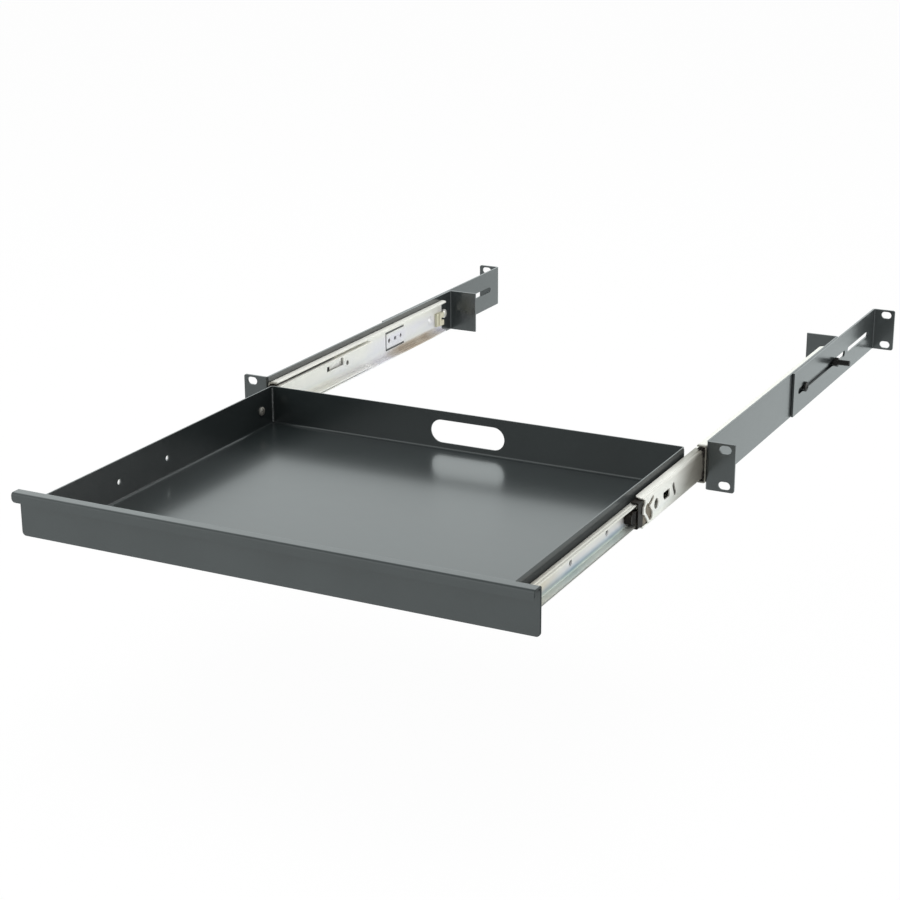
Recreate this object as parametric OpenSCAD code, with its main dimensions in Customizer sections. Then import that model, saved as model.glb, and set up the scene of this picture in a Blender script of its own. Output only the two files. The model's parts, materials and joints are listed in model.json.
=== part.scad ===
// Sliding rack drawer, one unit high, shown pulled out to its full travel.
// X runs across the rack, Y runs back into it and Z is up.
// The origin is the middle of the mounting plane, at the rear faces of the front ears.

/* [Rack ears] */
// Overall width across the front ears
ear_span = 482.6; // [470:0.1:500]
// Distance between the two columns of ear slots
hole_pitch = 465.1; // [460:0.1:470]
// Height between the upper and the lower ear slot
hole_rise = 31.75; // [28:0.05:34]
// Height of the ears and of the rail plates
ear_height = 42.6; // [40:0.1:46]
// Length of an ear slot, end to end
ear_slot_len = 10.5; // [8:0.1:14]
// Width of an ear slot
ear_slot_width = 7.2; // [5:0.1:8]
// Radius of the outer corners of an ear
ear_round = 2; // [0.5:0.1:5]

/* [Rails] */
// Width across the outer faces of the two rail plates
rail_span = 435; // [432:0.5:440]
// Distance from the rear clamp screw to the back of the rail's rear tab
rail_tail = 19; // [15:0.5:40]
// Sheet thickness of rails and rear brackets
rail_sheet = 2; // [1.5:0.1:2.2]
// Inside radius of the sheet bends
bend_r = 1; // [0.5:0.1:2]
// How far the rear tab reaches in from the rail plate
tab_reach = 30; // [15:1:50]
// Diameter of the dimples in the rear tab
dimple_d = 2.8; // [1:0.1:4]
// Depth of the dimples in the rear tab
dimple_deep = 0.8; // [0.2:0.1:1]
// Distance between the two dimples
dimple_gap = 9; // [6:0.5:14]

/* [Rear brackets] */
// Distance from the rear clamp screw to the front face of the rear ears
bracket_reach = 142; // [130:1:150]
// Gap between the bracket and the rail plate that it slides along
bracket_gap = 0.3; // [0.2:0.05:0.6]
// Distance from the bracket's front edge to its clamp slot
clamp_slot_lead = 14; // [10:0.5:18]
// How far the clamp slot runs on in front of the front clamp screw
clamp_slot_front = 20; // [19:0.5:30]
// How far the clamp slot runs on behind the rear clamp screw
clamp_slot_rear = 37; // [33.5:0.5:38]
// Solid stretch between the clamp slot and the spare slot
slot_web = 10; // [6:0.5:14]
// Distance from the spare slot to the rear ear
spare_margin = 20; // [8:0.5:40]
// Width of both bracket slots
bracket_slot_width = 5.7; // [5.5:0.1:8]

/* [Clamp screws] */
// Depth of the front clamp screw
clamp_front_y = 260; // [255:1:300]
// How far behind the slides the rear clamp screw stands
clamp_lag = 7; // [6.5:0.5:12]
// Diameter of a clamp screw's shank
clamp_d = 4.9; // [4:0.1:5]
// Diameter of a clamp screw's head
clamp_head_d = 9.5; // [8:0.1:10.5]
// Height of a clamp screw's head
clamp_head_h = 2.8; // [2:0.1:4]
// Length of the rear clamp screw under its head
clamp_len = 20; // [14:1:30]
// Width of the clamp nut across its flats
nut_flats = 8; // [7:0.1:10]
// Height of the clamp nut
nut_h = 4; // [3:0.1:6]

/* [Drawer] */
// How far the drawer slides
travel = 350; // [340:1:352]
// Gap between the closed front panel and the front ears
panel_stop_gap = 0.5; // [0.3:0.1:2]
// Width of the front panel
panel_span = 448; // [442:1:452]
// Height of the panel's top face above the middle of the rack unit
panel_top = 21.6; // [20:0.1:22]
// Depth of the panel's bottom edge below the middle of the rack unit
panel_drop = 17.2; // [16.8:0.1:21]
// Sheet thickness of the front panel
panel_sheet = 1.5; // [1:0.1:2]
// How far the pull lip stands in front of the panel
lip_reach = 10.2; // [8:0.1:16]
// Height of the pull lip's front flange
lip_height = 7.9; // [5:0.1:12]
// Radius of the panel's lower corners
panel_round = 3.5; // [1:0.1:6]
// Radius of the pull lip's lower corners
lip_round = 3.2; // [1:0.1:5]
// Height of the tray's walls above the middle of the rack unit
wall_top = 19; // [12:0.1:20]
// Sheet thickness of the tray
tray_sheet = 1.2; // [0.8:0.1:1.6]
// Inside radius of the tray's folds
tray_round = 2; // [0.5:0.1:3.5]
// Distance from the open drawer's rear wall to the mounting plane
tray_back = 16.8; // [5:0.1:30]
// Length of the hand slot in the rear wall
hand_slot_len = 72; // [50:1:110]
// Height of the hand slot
hand_slot_height = 21; // [15:1:26]
// Height of the hand slot's middle above the middle of the rack unit
hand_slot_up = 0.5; // [0:0.1:2]

/* [Slides] */
// Depth of a slide, from the rail plate to the tray's wall
slide_depth = 13.3; // [13.1:0.1:14.5]
// Length of the outer and inner slide members
slide_len = 350; // [344:1:352]
// How far the slides start in front of the mounting plane
slide_lead = 1; // [0.5:0.1:1.4]
// How much shorter the middle members are than the others
middle_short = 35; // [32:1:60]
// How far the middle members stand out of the outer ones when the drawer is out
middle_out = 134; // [110:1:140]
// How far the middle members stand back in the outer ones when the drawer is in
middle_inset = 13; // [1:0.5:16]
// Sheet thickness of the slide members
slide_sheet = 1.2; // [1:0.05:1.3]
// Height of the outer slide member
outer_height = 33; // [33:0.1:35]
// Height of the middle slide member
middle_height = 25.8; // [25.6:0.1:26]
// Height of the inner slide member
inner_height = 18.8; // [18.6:0.1:19]
// Diameter of the balls
ball_d = 3; // [2.9:0.05:3.1]
// Distance between balls in a row
ball_pitch = 15; // [10:0.5:16]
// Number of balls in a row
ball_count = 7; // [3:1:7]

/* [Hidden] */
$fn = 48;

// Overrun of every cut past the face that it starts from
over = 1;
// Clearance round a shank in its hole
hole_gap = 0.05;
// Gap between pieces that move past each other
move_gap = 0.3;

// Faces of the rail plate and of the bracket on the right side
rail_out = rail_span / 2;
rail_in = rail_out - rail_sheet;
bracket_in = rail_out + bracket_gap;
bracket_out = bracket_in + rail_sheet;
bend_out = bend_r + rail_sheet;

// Depths that follow from the rear end of the slides and from the clamp screws
outer_front = -slide_lead;
clamp_rear_y = outer_front + slide_len + clamp_lag;
rail_depth = clamp_rear_y + rail_tail;
rear_ear_y = clamp_rear_y + bracket_reach;
clamp_slot_start = clamp_front_y - clamp_slot_front;
clamp_slot_end = clamp_rear_y + clamp_slot_rear;
bracket_front = clamp_slot_start - clamp_slot_lead;
spare_start = clamp_slot_end + slot_web;
spare_end = rear_ear_y - spare_margin;

// Places of the drawer when it is fully out
panel_back_y = -rail_sheet - panel_stop_gap - travel;
panel_front_y = panel_back_y - panel_sheet;
lip_front_y = panel_front_y - lip_reach;
tray_rear_y = -tray_back;
floor_z = -panel_drop;
wall_out = rail_in - slide_depth;
wall_in = wall_out - tray_sheet;

// Slide section, with s measured from the rail plate towards the drawer
slide_bend = 0.8;
flange_round = 4.5;
web_gap = 1.4;
cage_sheet = 0.8;
cage_bend = 0.3;
race_gap = 0.12;
pocket_gap = 0.1;
outer_reach = 8.4;
middle_s = slide_sheet + web_gap;
middle_reach = 8.4;
inner_cage_s = middle_s + slide_sheet + move_gap;
inner_lip_s = 6;
outer_cage_s = slide_sheet + move_gap;
outer_row_s = 5.2;
inner_row_s = 8.2;
outer_cage_reach = 5.9;
inner_cage_reach = 6.5;
outer_row_z = (outer_height / 2 - slide_sheet + middle_height / 2) / 2;
inner_row_z = (middle_height / 2 - slide_sheet + inner_height / 2) / 2;

// Slide places when the drawer is fully out
middle_front = outer_front - middle_out;
middle_len = slide_len - middle_short;
inner_front = outer_front - travel;
row_len = (ball_count - 1) * ball_pitch;
outer_cage_nose = 2;
inner_cage_nose = 8;
ball_lead = 12;
cage_tail = 8;
cage_len = ball_lead + row_len + cage_tail;
outer_cage_front = outer_front - outer_cage_nose;
inner_cage_front = middle_front - inner_cage_nose;
cage_window_lead = 30;
cage_window_len = 42;
cage_window_h = 15;
cage_notch_len = 12;
cage_notch_h = 13;

// Cuts in the middle member's web, places in shares of its height from its front end and middle
knee_shares = [0.3, 0.08];
crest_shares = [0.74, 0.29];
foot_shares = [0.6, -0.23];
crest_width = 4;
foot_width = 8.4;
strip_width = 2.2;
notch_shares = [0, 0.33];
notch_r = 3.2;
eye_share = 1.05;
eye_d = 9;
window_share = 1.64;
window_len = 14;
window_h = 7;
window_up = 0.5;
window_chamfer = 4.5;
slit_top_shares = [2.5, 0.155];
slit_foot_shares = [2.66, -0.155];
slit_width = 4.2;
ell_y = 235;
ell_len = 32;
ell_width = 5;
ell_rise = 8;
ell_eye_gap = 8;
ell_eye_d = 5;

// Cuts in the outer member's web, places along it from its front end
tongue_y = 224;
tongue_len = 40;
tongue_half = 10;
tongue_cut = 2.2;
tongue_hole_shares = [0.2, 0.52, 0.82];
tongue_hole_d = 5;
tongue_hole_taper_share = 0.3;
// Round holes in the inner member's web and in the tray wall behind it
wall_hole_shares = [0.272, 0.469];
wall_hole_d = 5;

// Screws that hold the inner members to the tray, places along the member
drawer_screw_shares = [0.085, 0.897];
drawer_screw_d = 4;
drawer_screw_len = 5.6;
drawer_head_d = 8;
drawer_head_h = 2.2;
recess_span = 4.2;
recess_width = 1;
recess_deep = 1.2;

// Blind rivets that hold the outer members to the rails, places along the member
rivet_shares = [0.1, 0.47];
rear_rivet_share = 0.92;
rivet_d = 4;
rivet_head_d = 7;
rivet_cone = 0.9;
rivet_skin = 0.5;
rear_rivet_d = 8;
rear_rivet_h = 1.4;

// Studs and nuts that hold the front panel to the tray
stud_x_shares = [-0.8, -0.27, 0.27, 0.8];
stud_d = 4;
stud_seat_d = 6;
stud_seat_deep = 0.8;
stud_len = 5.4;
stud_nut_flats = 7;
stud_nut_h = 3;

// Release lever inside the inner member, lengths from its pivot in front of the middle member
lever_lead = 9;
lever_gap = 0.5;
lever_s = inner_cage_s + cage_sheet + lever_gap;
lever_thick = 6.2;
lever_body_h = 11;
lever_nose = 4.6;
lever_heel = 4;
lever_drop = 1.4;
lever_tail = 14;
lever_tail_h = 3.4;
rib_count = 3;
rib_w = 0.9;
rib_deep = 0.6;
pin_r = 1.5;
pin_head_r = 2.3;
pin_head_h = 0.8;
lever_y = middle_front - lever_lead;

// Plastic bumper at the rear end of the outer member
bumper_inset = 2;
bumper_len = 14;
bumper_h = 14;
bumper_up = -2.6;
bumper_deep = 4.2;
bumper_step_len = 4;
bumper_step_deep = 2.8;
bumper_notch_len = 6;
bumper_notch_h = 3;
bumper_end = outer_front + slide_len - bumper_inset;
bumper_front = bumper_end - bumper_len;

paint = [0.29, 0.32, 0.32];
zinc = [0.88, 0.87, 0.82];
black = [0.1, 0.1, 0.1];
beige = [0.82, 0.77, 0.62];

// Quarter of a bent sheet's ring, in the corner towards -x and -y
module quarter_bend(inside, sheet) {
    outside = inside + sheet;
    difference() {
        intersection() {
            circle(r = outside);
            translate([-outside, -outside]) square(outside);
        }
        circle(r = inside);
    }
}

// Channel section with its web at x = 0 and its flanges along +x
module channel(height, reach, sheet, inside) {
    outside = inside + sheet;
    half = height / 2;
    translate([0, outside - half]) square([sheet, height - 2 * outside]);
    for (up = [0, 1]) mirror([0, up]) {
        translate([outside, -half]) square([reach - outside, sheet]);
        translate([outside, outside - half]) quarter_bend(inside, sheet);
    }
}

// Slot with round ends, along x
module stadium(length, width) {
    flat = length - width;
    translate([-flat / 2, -width / 2]) square([flat, width]);
    for (end = [-1, 1]) translate([end * flat / 2, 0]) circle(d = width);
}

// Waste left outside a rounded corner at the origin, with the sheet towards +x and +y
module corner_waste(radius) {
    difference() {
        translate([-over, -over]) square(radius + over);
        translate([radius, radius]) circle(r = radius);
    }
}

// Slot with round ends whose end arcs stand on two points
module limb(from, to, width) {
    run = to - from;
    translate((from + to) / 2) rotate(atan2(run[1], run[0])) stadium(norm(run) + width, width);
}

// Flat shape carried through along Y, with its x across the rack and its y up
module through_y(y, depth) {
    translate([0, y + depth / 2, 0]) rotate([90, 0, 0]) linear_extrude(depth) children();
}

// Flat shape carried through along X, with its x into the rack and its y up
module through_x(x, depth) {
    translate([x - depth / 2, 0, 0]) rotate([90, 0, 90]) linear_extrude(depth) children();
}

// Slide section, x being the distance s from the rail plate, run from y0 to y1
module slide_run(y0, y1) {
    translate([rail_in, y1, 0]) rotate([90, 0, 0]) linear_extrude(y1 - y0) mirror([1, 0]) children();
}

// Round bar along X from the distance s0 to s1 off the rail plate, at depth y
module bar(s0, s1, y, radius) {
    translate([rail_in - s1, y, 0]) rotate([0, 90, 0]) cylinder(r = radius, h = s1 - s0);
}

module on_left() {
    mirror([1, 0, 0]) children();
}

module on_both() {
    for (side = [0, 1]) mirror([side, 0, 0]) children();
}

// Waste outside the rounded flange corners at a slide member's end, with the member towards +y
module flange_waste(s_edge, height) {
    translate([rail_in - s_edge, 0, -height / 2 - over]) linear_extrude(height + 2 * over)
        corner_waste(flange_round);
}

// Slots and rounded corners of the ear at depth y
module ear_cuts(y) {
    for (up = [-1, 1]) {
        through_y(y, rail_sheet + 2 * over)
            translate([hole_pitch / 2, up * hole_rise / 2]) stadium(ear_slot_len, ear_slot_width);
    }
    for (up = [0, 1]) mirror([0, 0, up]) {
        through_y(y, rail_sheet + 2 * over)
            translate([ear_span / 2, -ear_height / 2]) mirror([1, 0]) corner_waste(ear_round);
    }
}

// Plan of a front rail: ear, plate and rear tab in one bent sheet
module rail_plan() {
    translate([rail_in + bend_out, -rail_sheet]) square([ear_span / 2 - rail_in - bend_out, rail_sheet]);
    translate([rail_in + bend_out, bend_r]) quarter_bend(bend_r, rail_sheet);
    translate([rail_in, bend_r]) square([rail_sheet, rail_depth - bend_out - bend_r]);
    translate([rail_out - bend_out, rail_depth - bend_out]) rotate(180) quarter_bend(bend_r, rail_sheet);
    translate([rail_in - tab_reach, rail_depth - rail_sheet])
        square([rail_out - bend_out - rail_in + tab_reach, rail_sheet]);
}

module front_rail() {
    color(paint) difference() {
        translate([0, 0, -ear_height / 2]) linear_extrude(ear_height) rail_plan();
        ear_cuts(-rail_sheet / 2);
        for (share = concat(rivet_shares, rear_rivet_share))
            bar(rivet_skin - rail_sheet, over, rivet_y(share), rivet_d / 2 + hole_gap);
        for (y = [clamp_front_y, clamp_rear_y]) bar(-rail_sheet - over, over, y, clamp_d / 2 + hole_gap);
        for (side = [-1, 1])
            translate([rail_in - tab_reach / 2 + side * dimple_gap / 2, rail_depth - rail_sheet, 0])
                rotate([90, 0, 0]) cylinder(d = dimple_d, h = 2 * dimple_deep, center = true);
    }
}

// Plan of a rear bracket: plate and rear ear in one bent sheet
module bracket_plan() {
    ear_back = rear_ear_y + rail_sheet;
    translate([bracket_in, bracket_front]) square([rail_sheet, ear_back - bend_out - bracket_front]);
    translate([bracket_in + bend_out, ear_back - bend_out]) mirror([0, 1]) quarter_bend(bend_r, rail_sheet);
    translate([bracket_in + bend_out, rear_ear_y]) square([ear_span / 2 - bracket_in - bend_out, rail_sheet]);
}

// Slot through the bracket's plate, from depth y0 to depth y1
module bracket_slot(y0, y1) {
    through_x(bracket_in + rail_sheet / 2, rail_sheet + 2 * over)
        translate([(y0 + y1) / 2, 0]) stadium(y1 - y0, bracket_slot_width);
}

module rear_bracket() {
    color(paint) difference() {
        translate([0, 0, -ear_height / 2]) linear_extrude(ear_height) bracket_plan();
        ear_cuts(rear_ear_y + rail_sheet / 2);
        bracket_slot(clamp_slot_start, clamp_slot_end);
        bracket_slot(spare_start, spare_end);
    }
}

// Low round head with a cross recess, its underside at x = 0 and its top towards +x
module cross_head(diameter, height) {
    rotate([0, 90, 0]) difference() {
        intersection() {
            cylinder(d = diameter, h = height);
            translate([0, 0, height - diameter]) sphere(r = diameter);
            cylinder(d1 = diameter + 2 * height, d2 = diameter - height / 2, h = height);
        }
        for (turn = [0, 90]) rotate(turn)
            translate([-recess_span / 2, -recess_width / 2, height - recess_deep])
                cube([recess_span, recess_width, recess_deep + over]);
    }
}

// Front clamp screw, from outside through the bracket's slot into the rail plate
module front_clamp_screw() {
    seat = bracket_out + move_gap;
    color(black) union() {
        translate([rail_in, clamp_front_y, 0]) rotate([0, 90, 0]) cylinder(d = clamp_d, h = seat - rail_in);
        translate([seat, clamp_front_y, 0]) cross_head(clamp_head_d, clamp_head_h);
    }
}

// Rear clamp screw, from inside through the rail plate and the bracket's slot
module rear_clamp_screw() {
    color(zinc) translate([rail_in, clamp_rear_y, 0]) union() {
        rotate([0, 90, 0]) cylinder(d = clamp_d, h = clamp_len);
        mirror([1, 0, 0]) cross_head(clamp_head_d, clamp_head_h);
    }
}

// Hexagon nut along +x with chamfered corners and a plain bore
module hex_nut(flats, height, bore) {
    corners = flats / cos(30);
    rotate([0, 90, 0]) difference() {
        intersection() {
            cylinder(d = corners, h = height, $fn = 6);
            cylinder(d1 = flats, d2 = flats + 4 * height, h = height);
            cylinder(d1 = flats + 4 * height, d2 = flats, h = height);
        }
        translate([0, 0, -over]) cylinder(d = bore, h = height + 2 * over);
    }
}

module clamp_nuts() {
    color(black) translate([bracket_out + move_gap, clamp_rear_y, 0])
        hex_nut(nut_flats, nut_h, clamp_d + 2 * hole_gap);
}

function rivet_y(share) = outer_front + share * slide_len;
function inner_y(share) = inner_front + share * slide_len;

// Rivets from inside the outer member, flush where the middle member passes over them
module slide_rivets() {
    shank = rail_sheet - rivet_skin + slide_sheet;
    color(zinc) {
        for (share = rivet_shares)
            translate([rail_out - rivet_skin, rivet_y(share), 0]) rotate([0, -90, 0]) union() {
                cylinder(d = rivet_d, h = shank);
                translate([0, 0, shank - rivet_cone])
                    cylinder(d1 = rivet_d, d2 = rivet_head_d, h = rivet_cone);
            }
        translate([rail_out - rivet_skin, rivet_y(rear_rivet_share), 0]) rotate([0, -90, 0]) union() {
            cylinder(d = rivet_d, h = shank);
            translate([0, 0, shank]) round_head(rear_rivet_d, rear_rivet_h);
        }
    }
}

// Low domed head standing on z = 0
module round_head(diameter, height) {
    dome = (diameter * diameter / 4 + height * height) / (2 * height);
    intersection() {
        cylinder(d = diameter, h = height);
        translate([0, 0, height - dome]) sphere(r = dome);
    }
}

module rivet_seats() {
    for (share = concat(rivet_shares, rear_rivet_share))
        bar(-over, slide_sheet + over, rivet_y(share), rivet_d / 2 + hole_gap);
    for (share = rivet_shares)
        translate([rail_in - slide_sheet + rivet_cone, rivet_y(share), 0]) rotate([0, -90, 0])
            cylinder(d1 = rivet_d + 2 * hole_gap, d2 = rivet_head_d + 2 * hole_gap, h = rivet_cone);
}

// Two rows of round races, above and below the middle
module races(s, z) {
    for (up = [-1, 1]) translate([s, up * z]) circle(r = ball_d / 2 + race_gap);
}

module outer_member() {
    color(zinc) difference() {
        slide_run(outer_front, outer_front + slide_len) difference() {
            channel(outer_height, outer_reach, slide_sheet, slide_bend);
            races(outer_row_s, outer_row_z);
        }
        rivet_seats();
        through_x(rail_in - slide_sheet / 2, slide_sheet + 2 * over) translate([outer_front + tongue_y, 0]) {
            tongue_slot();
            for (share = tongue_hole_shares) translate([share * tongue_len, 0])
                circle(d = tongue_hole_d * (1 - share * tongue_hole_taper_share));
        }
        translate([0, outer_front + slide_len, 0]) mirror([0, 1, 0]) flange_waste(outer_reach, outer_height);
    }
}

// U-shaped cut that frees a tongue in the web, open towards the rear
module tongue_slot() {
    difference() {
        translate([0, -tongue_half]) square([tongue_len, 2 * tongue_half]);
        translate([tongue_cut, tongue_cut - tongue_half])
            square([tongue_len, 2 * (tongue_half - tongue_cut)]);
    }
}

// Bent slot behind the web's front edge, and the bites that leave a thin strip in front of it
module strip_cuts() {
    knee = middle_height * knee_shares;
    foot = middle_height * foot_shares;
    limb(knee, middle_height * crest_shares, crest_width);
    limb(knee, foot, foot_width);
    lean = atan2(foot[1] - knee[1], foot[0] - knee[0]);
    step = (foot_width + strip_width) * [sin(lean), -cos(lean)];
    limb(knee + step, foot + step, foot_width);
    translate(middle_height * notch_shares) circle(r = notch_r);
}

// Window with its lower front corner cut off
module window() {
    difference() {
        square([window_len, window_h], center = true);
        translate([-window_len / 2, -window_h / 2]) rotate(45) square(window_chamfer, center = true);
    }
}

// Cuts in the middle member's web, with x measured from its front end
module middle_web_cuts() {
    strip_cuts();
    translate([middle_height * eye_share, 0]) circle(d = eye_d);
    translate([middle_height * window_share + window_len / 2, window_up]) window();
    limb(middle_height * slit_top_shares, middle_height * slit_foot_shares, slit_width);
    translate([ell_y, 0]) square([ell_len, ell_width]);
    translate([ell_y + ell_len - ell_width, 0]) square([ell_width, ell_rise]);
    translate([ell_y + ell_len + ell_eye_gap, 0]) circle(d = ell_eye_d);
}

module middle_member() {
    edge = middle_s + middle_reach;
    color(zinc) difference() {
        slide_run(middle_front, middle_front + middle_len) difference() {
            translate([middle_s, 0]) channel(middle_height, middle_reach, slide_sheet, slide_bend);
            races(outer_row_s, outer_row_z);
            races(inner_row_s, inner_row_z);
        }
        through_x(rail_in - middle_s - slide_sheet / 2, slide_sheet + 2 * move_gap)
            translate([middle_front, 0]) middle_web_cuts();
        translate([0, middle_front, 0]) flange_waste(edge, middle_height);
        translate([0, middle_front + middle_len, 0]) mirror([0, 1, 0]) flange_waste(edge, middle_height);
    }
}

module inner_member() {
    color(zinc) difference() {
        slide_run(inner_front, inner_front + slide_len) difference() {
            translate([slide_depth, 0]) mirror([1, 0])
                channel(inner_height, slide_depth - inner_lip_s, slide_sheet, slide_bend);
            races(inner_row_s, inner_row_z);
        }
        for (share = wall_hole_shares) web_bore(inner_y(share), wall_hole_d / 2);
        for (share = drawer_screw_shares) web_bore(inner_y(share), drawer_screw_d / 2 + hole_gap);
        web_bore(lever_y, pin_r + hole_gap);
    }
}

// Round bore through the inner member's web
module web_bore(y, radius) {
    bar(slide_depth - slide_sheet - over, slide_depth + over, y, radius);
}

// Ball cage: a thin channel with a round pocket for each ball
module cage(y, s, height, reach, row_s) {
    difference() {
        slide_run(y, y + cage_len) translate([s, 0]) channel(height, reach, cage_sheet, cage_bend);
        for (i = [0 : ball_count - 1]) translate([rail_in - row_s, y + ball_lead + i * ball_pitch, -height])
            cylinder(d = ball_d + 2 * pocket_gap, h = 2 * height);
    }
}

module balls(y, row_s, row_z) {
    for (up = [-1, 1]) for (i = [0 : ball_count - 1])
        translate([rail_in - row_s, y + ball_lead + i * ball_pitch, up * row_z]) sphere(d = ball_d);
}

// Its web is notched at the front, which leaves a finger above and below
module outer_cage() {
    color(black) difference() {
        cage(outer_cage_front, outer_cage_s, 2 * outer_row_z + cage_sheet, outer_cage_reach, outer_row_s);
        through_x(rail_in - outer_cage_s - cage_sheet / 2, cage_sheet + 2 * move_gap)
            translate([outer_cage_front, 0]) stadium(2 * cage_notch_len, cage_notch_h);
    }
}

module outer_balls() {
    color(zinc) balls(outer_cage_front, outer_row_s, outer_row_z);
}

// Its web is open behind the eye and the window of the middle member
module inner_cage() {
    color(black) difference() {
        cage(inner_cage_front, inner_cage_s, 2 * inner_row_z + cage_sheet, inner_cage_reach, inner_row_s);
        through_x(rail_in - inner_cage_s - cage_sheet / 2, cage_sheet + 2 * move_gap)
            translate([inner_cage_front + cage_window_lead, -cage_window_h / 2])
                square([cage_window_len, cage_window_h]);
    }
}

module inner_balls() {
    color(zinc) balls(inner_cage_front, inner_row_s, inner_row_z);
}

// Side view of the release lever, with x from its pivot into the rack
module lever_side() {
    limb([-lever_nose, 0], [lever_heel, -lever_drop], lever_body_h);
    limb([0, 0], [lever_tail - lever_tail_h / 2, 0], lever_tail_h);
}

module release_lever() {
    color(black) difference() {
        through_x(rail_in - lever_s - lever_thick / 2, lever_thick) translate([lever_y, 0]) lever_side();
        bar(lever_s - over, lever_s + lever_thick + over, lever_y, pin_r + hole_gap);
        bar(lever_s - over, lever_s + pin_head_h + move_gap / 2, lever_y, pin_head_r + hole_gap);
        for (i = [1 : rib_count])
            translate([rail_in - lever_s - rib_deep, lever_y - pin_head_r - 2 * i * rib_w, -lever_body_h])
                cube([rib_deep + over, rib_w, 2 * lever_body_h]);
    }
}

module lever_pin() {
    color(zinc) union() {
        bar(lever_s + move_gap / 2, lever_s + pin_head_h, lever_y, pin_head_r);
        bar(lever_s + move_gap / 2, slide_depth - hole_gap, lever_y, pin_r);
    }
}

// Block on the outer member's web, lower at its front and notched at its rear
module rear_bumper() {
    top = rail_in - slide_sheet - bumper_deep;
    color(beige) translate([0, 0, bumper_up]) difference() {
        translate([top, bumper_front, -bumper_h / 2]) cube([bumper_deep, bumper_len, bumper_h]);
        translate([top - over, bumper_front - over, -bumper_h / 2 - over])
            cube([bumper_deep - bumper_step_deep + over, bumper_step_len + over, bumper_h + 2 * over]);
        translate([top - over, bumper_end - bumper_notch_len, -bumper_notch_h / 2])
            cube([bumper_deep + 2 * over, bumper_notch_len + over, bumper_notch_h]);
    }
}

// Rectangle with its two lower corners rounded
module rounded_low(x0, x1, z0, z1, radius) {
    difference() {
        translate([x0, z0]) square([x1 - x0, z1 - z0]);
        translate([x0, z0]) corner_waste(radius);
        translate([x1, z0]) mirror([1, 0]) corner_waste(radius);
    }
}

// Block over the width of 2 * side, with rounded lower edges and rounded upright corners
module tray_block(side, y0, y1, z0, z1, radius) {
    intersection() {
        through_y((y0 + y1) / 2, y1 - y0) rounded_low(-side, side, z0, z1, radius);
        through_x(0, 2 * side) rounded_low(y0, y1, z0, z1, radius);
        translate([0, 0, z0]) linear_extrude(z1 - z0) difference() {
            translate([-side, y0]) square([2 * side, y1 - y0]);
            for (right = [0, 1]) mirror([right, 0]) {
                translate([-side, y0]) corner_waste(radius);
                translate([-side, y1]) mirror([0, 1]) corner_waste(radius);
            }
        }
    }
}

// Tray: floor and four walls folded from one sheet
module drawer_tray() {
    color(paint) difference() {
        tray_block(wall_out, panel_back_y, tray_rear_y, floor_z, wall_top, tray_round + tray_sheet);
        tray_block(wall_in, panel_back_y + tray_sheet, tray_rear_y - tray_sheet, floor_z + tray_sheet,
            wall_top + over, tray_round);
        through_y(tray_rear_y - tray_sheet / 2, tray_sheet + 2 * over)
            translate([0, hand_slot_up]) stadium(hand_slot_len, hand_slot_height);
        for (share = wall_hole_shares) wall_bores(inner_y(share), wall_hole_d / 2);
        for (share = drawer_screw_shares) wall_bores(inner_y(share), drawer_screw_d / 2 + hole_gap);
        for (share = stud_x_shares) translate([share * wall_in, panel_back_y - over, 0])
            rotate([-90, 0, 0]) cylinder(d = stud_d + 2 * hole_gap, h = tray_sheet + 2 * over);
    }
}

// A pair of bores through both side walls of the tray
module wall_bores(y, radius) {
    on_both() bar(slide_depth - over, slide_depth + tray_sheet + over, y, radius);
}

// Screws from inside the tray into the inner member
module drawer_screws() {
    color(zinc) for (share = drawer_screw_shares) translate([wall_in, inner_y(share), 0]) union() {
        mirror([1, 0, 0]) cross_head(drawer_head_d, drawer_head_h);
        rotate([0, 90, 0]) cylinder(d = drawer_screw_d, h = drawer_screw_len);
    }
}

// Side section of the panel: plate, top flange and front flange of the pull lip
module panel_section() {
    outside = bend_r + panel_sheet;
    translate([panel_front_y, -panel_drop]) square([panel_sheet, panel_top - outside + panel_drop]);
    translate([panel_back_y - outside, panel_top - outside]) rotate(180) quarter_bend(bend_r, panel_sheet);
    translate([lip_front_y + outside, panel_top - panel_sheet])
        square([panel_back_y - lip_front_y - 2 * outside, panel_sheet]);
    translate([lip_front_y + outside, panel_top - outside]) mirror([0, 1]) quarter_bend(bend_r, panel_sheet);
    translate([lip_front_y, panel_top - lip_height]) square([panel_sheet, lip_height - outside]);
}

// Waste outside the two lower corners of a sheet whose bottom edge is at height z
module lower_corners(z, radius) {
    for (side = [0, 1]) mirror([side, 0]) translate([-panel_span / 2, z]) corner_waste(radius);
}

module front_panel() {
    color(paint) difference() {
        translate([-panel_span / 2, 0, 0]) rotate([90, 0, 90]) linear_extrude(panel_span) panel_section();
        through_y(panel_front_y + panel_sheet / 2, panel_sheet + 2 * over)
            lower_corners(-panel_drop, panel_round);
        through_y(lip_front_y + panel_sheet / 2, panel_sheet + 2 * over)
            lower_corners(panel_top - lip_height, lip_round);
        for (share = stud_x_shares) translate([share * wall_in, panel_back_y - stud_seat_deep, 0])
            rotate([-90, 0, 0]) cylinder(d = stud_seat_d + 2 * hole_gap, h = stud_seat_deep + over);
    }
}

// Press-in studs whose round seats are hidden in the back of the panel
module panel_studs() {
    color(zinc) for (share = stud_x_shares)
        translate([share * wall_in, panel_back_y, 0]) rotate([-90, 0, 0]) union() {
            translate([0, 0, -stud_seat_deep]) cylinder(d = stud_seat_d, h = stud_seat_deep);
            cylinder(d = stud_d, h = tray_sheet + stud_len);
        }
}

module panel_nuts() {
    color(zinc) for (share = stud_x_shares) translate([share * wall_in, panel_back_y + tray_sheet, 0])
        rotate(90) hex_nut(stud_nut_flats, stud_nut_h, stud_d + 2 * hole_gap);
}

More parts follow.
